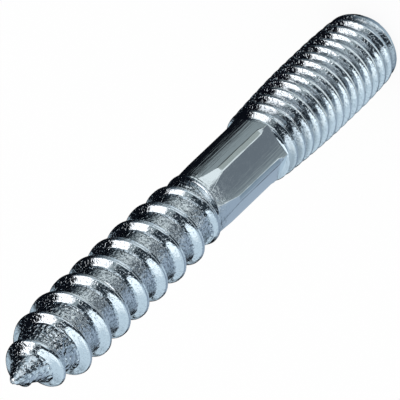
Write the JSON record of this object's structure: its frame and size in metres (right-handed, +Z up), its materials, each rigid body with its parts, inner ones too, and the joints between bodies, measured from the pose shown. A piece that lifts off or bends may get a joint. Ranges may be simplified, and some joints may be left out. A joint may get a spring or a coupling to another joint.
{
  "type": "hanger bolt",
  "caption": "Hanger bolt in bright zinc-plated steel: a pointed wood thread, a hexagonal grip and a machine thread for a nut.",
  "frame": {"origin": "centre of the flat end of the machine thread, on the surface that the bolt stands on", "axes": "+Z up along the bolt's axis, from the flat end to the point"},
  "size_m": [0.0078, 0.0078, 0.06],
  "materials": {
    "zinc_plated_steel": "bright bluish zinc plate on rolled steel, slightly pitted on the threads"
  },
  "bodies": {
    "root": {"hanger_bolt": "zinc_plated_steel"}
  },
  "joints": []
}
